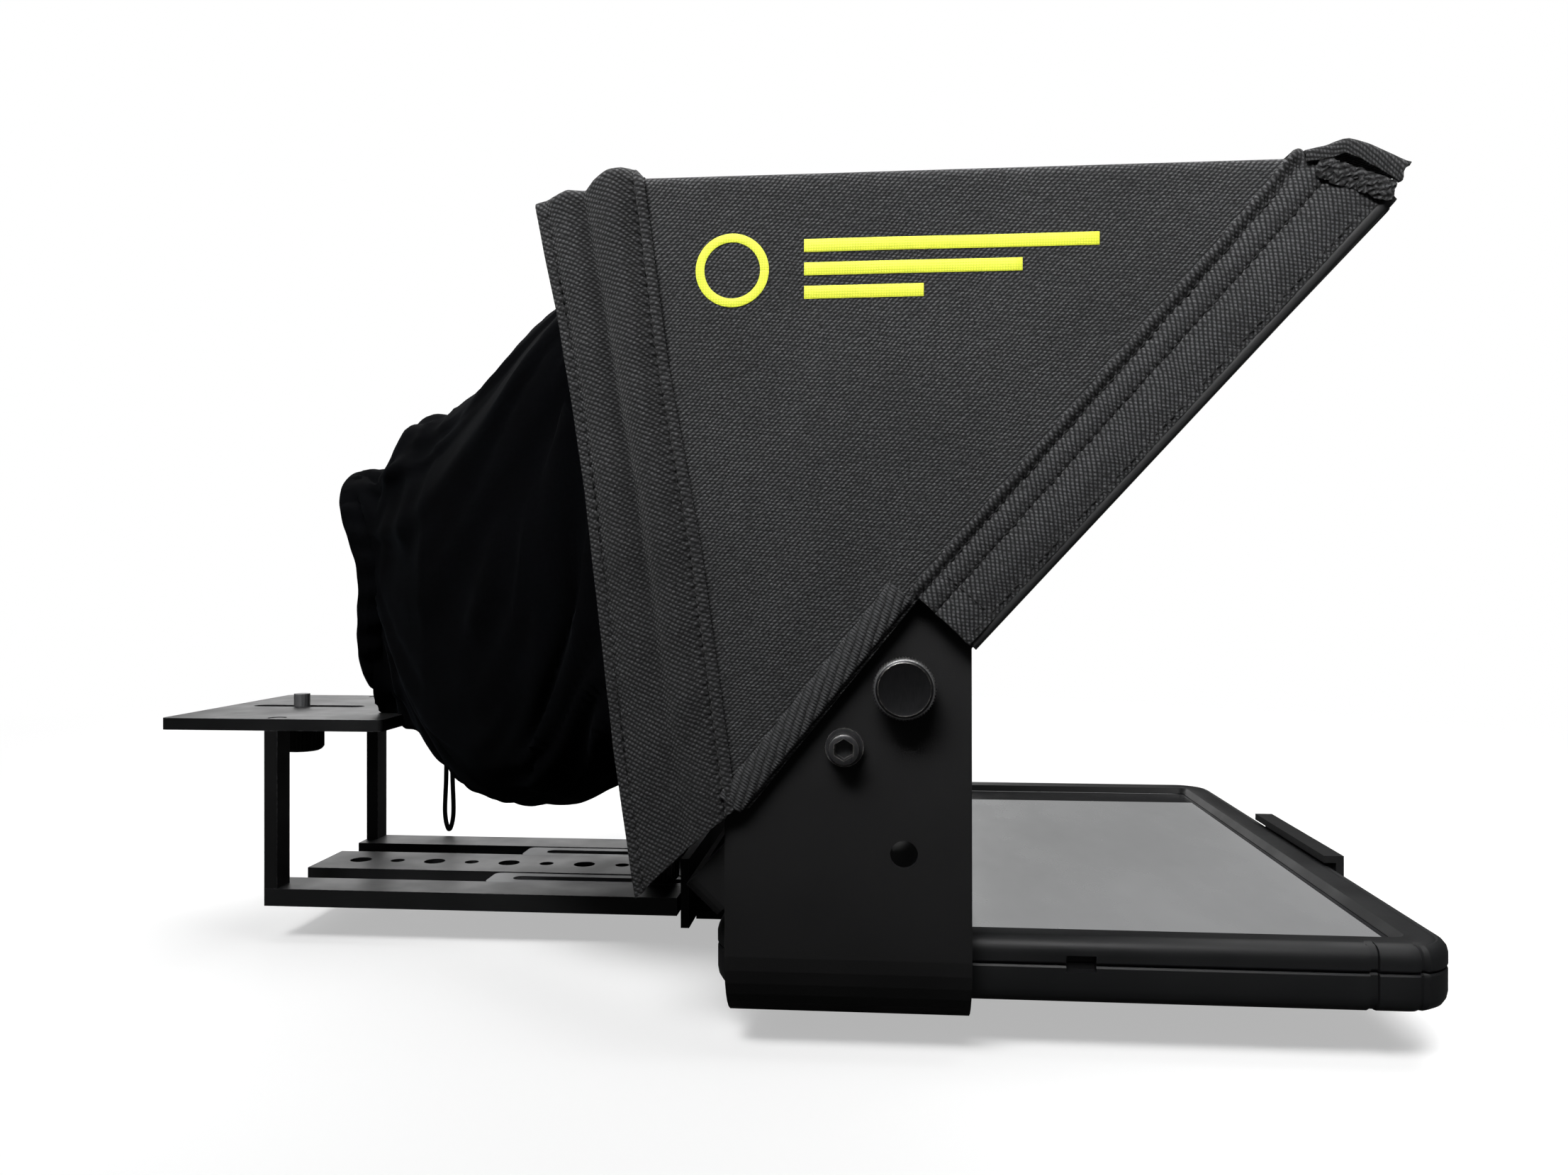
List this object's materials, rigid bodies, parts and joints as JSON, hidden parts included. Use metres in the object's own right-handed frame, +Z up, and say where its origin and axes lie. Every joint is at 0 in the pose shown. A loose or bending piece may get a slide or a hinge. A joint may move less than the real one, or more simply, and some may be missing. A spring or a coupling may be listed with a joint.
{
  "type": "camera teleprompter",
  "caption": "Teleprompter with a sliding base, raised camera platform, tablet tray, tilting beam-splitter glass, fabric hood and lens shroud.",
  "frame": {"origin": "on the base plate's underside, on its centre line, half a hole pitch (7.65 mm) ahead of the middle tripod hole", "axes": "+X forwards, from the camera to the speaker; +Y to the side away from the viewer of the side view; +Z up"},
  "size_m": [0.4229, 0.297, 0.2408],
  "materials": {
    "black_anodised": "satin black anodised",
    "satin_aluminium": "satin grey",
    "black_powder_coat": "matte black powder coat",
    "black_steel": "black oxide with bright worn edges",
    "coated_glass": "clear glass with a beam-splitter coating",
    "black_rubber": "matte rubber",
    "case_plastic": "fine moulded texture",
    "tablet_metal": "bead blasted",
    "screen_glass": "gloss display glass",
    "hood_cloth": "charcoal woven polyester",
    "shroud_velvet": "black brushed velvet",
    "black_cord": "braided cord"
  },
  "bodies": {
    "base_plate": {"base_plate": "black_anodised", "camera_platform": "black_anodised", "riser_post_near": "black_anodised", "riser_post_far": "black_anodised", "riser_lower_screw_near": "black_steel", "riser_lower_screw_far": "black_steel", "riser_upper_screw_near": "black_steel", "riser_upper_screw_far": "black_steel", "lock_stud_near": "black_steel", "lock_stud_far": "black_steel", "shroud_collar": "shroud_velvet", "drawstring": "black_cord", "cord_lock": "case_plastic"},
    "carriage": {"slide_arm_near": "satin_aluminium", "slide_arm_far": "satin_aluminium", "carriage_flange": "black_powder_coat", "arm_screw_near_rear": "black_steel", "arm_screw_near_front": "black_steel", "arm_screw_far_rear": "black_steel", "arm_screw_far_front": "black_steel", "cradle_bracket": "black_powder_coat", "pivot_washer_near": "black_steel", "pivot_washer_far": "black_steel", "pivot_screw_near": "black_steel", "pivot_screw_far": "black_steel", "tablet_tray": "black_powder_coat", "tray_screw_near_rear": "black_steel", "tray_screw_near_front": "black_steel", "tray_screw_far_rear": "black_steel", "tray_screw_far_front": "black_steel", "tray_pad_rear": "black_rubber", "tray_pad_front": "black_rubber", "clamp_guide_screw": "black_steel", "tablet_case_back": "case_plastic", "tablet_case_front": "case_plastic", "tablet_body": "tablet_metal", "tablet_screen": "screen_glass", "lens_shroud": "shroud_velvet"},
    "glass_frame": {"glass_frame": "black_powder_coat", "beam_splitter_glass": "coated_glass", "glass_retainer_near": "black_rubber", "glass_retainer_far": "black_rubber", "glass_retainer_lower": "black_rubber", "glass_retainer_upper": "black_rubber", "hood_side_near": "hood_cloth", "hood_side_far": "hood_cloth", "hood_top": "hood_cloth"},
    "tilt_thumbscrew_near": {"tilt_thumbscrew_near": "black_steel"},
    "tilt_thumbscrew_far": {"tilt_thumbscrew_far": "black_steel"},
    "lock_nut_near": {"lock_nut_near": "black_steel"},
    "lock_nut_far": {"lock_nut_far": "black_steel"},
    "camera_screw_runner": {"camera_screw_washer": "black_steel"},
    "camera_screw": {"camera_screw_knob": "black_powder_coat", "camera_screw_stud": "satin_aluminium"},
    "clamp": {"clamp_slider": "black_powder_coat"},
    "clamp_lock": {"clamp_lock_knob": "black_powder_coat", "clamp_lock_stud": "black_steel"}
  },
  "joints": [
    {"name": "carriage_slide", "type": "slide", "parent": "base_plate", "child": "carriage", "axis": [1, 0, 0], "range_m": [0, 0.05]},
    {"name": "glass_tilt", "type": "hinge", "parent": "carriage", "child": "glass_frame", "pos_m": [0.13115, 0, 0.0731], "axis": [0, 1, 0], "range_deg": [-5, 8]},
    {"name": "tilt_thumbscrew_near_spin", "type": "hinge", "parent": "glass_frame", "child": "tilt_thumbscrew_near", "pos_m": [0.14715, -0.1445, 0.0894], "axis": [0, 1, 0], "continuous": true},
    {"name": "tilt_thumbscrew_far_spin", "type": "hinge", "parent": "glass_frame", "child": "tilt_thumbscrew_far", "pos_m": [0.14715, 0.1445, 0.0894], "axis": [0, 1, 0], "continuous": true},
    {"name": "lock_nut_near_spin", "type": "hinge", "parent": "base_plate", "child": "lock_nut_near", "pos_m": [0.05835, -0.02225, 0.01], "axis": [0, 0, 1], "continuous": true},
    {"name": "lock_nut_far_spin", "type": "hinge", "parent": "base_plate", "child": "lock_nut_far", "pos_m": [0.05835, 0.02225, 0.01], "axis": [0, 0, 1], "continuous": true},
    {"name": "camera_screw_travel", "type": "slide", "parent": "base_plate", "child": "camera_screw_runner", "axis": [1, 0, 0], "range_m": [-0.016, 0.011]},
    {"name": "camera_screw_spin", "type": "hinge", "parent": "camera_screw_runner", "child": "camera_screw", "pos_m": [-0.09365, 0, 0.06], "axis": [0, 0, 1], "continuous": true},
    {"name": "clamp_slide", "type": "slide", "parent": "carriage", "child": "clamp", "axis": [1, 0, 0], "range_m": [0, 0.04]},
    {"name": "clamp_lock_spin", "type": "hinge", "parent": "carriage", "child": "clamp_lock", "pos_m": [0.22435, 0, -0.008], "axis": [0, 0, 1], "continuous": true}
  ]
}
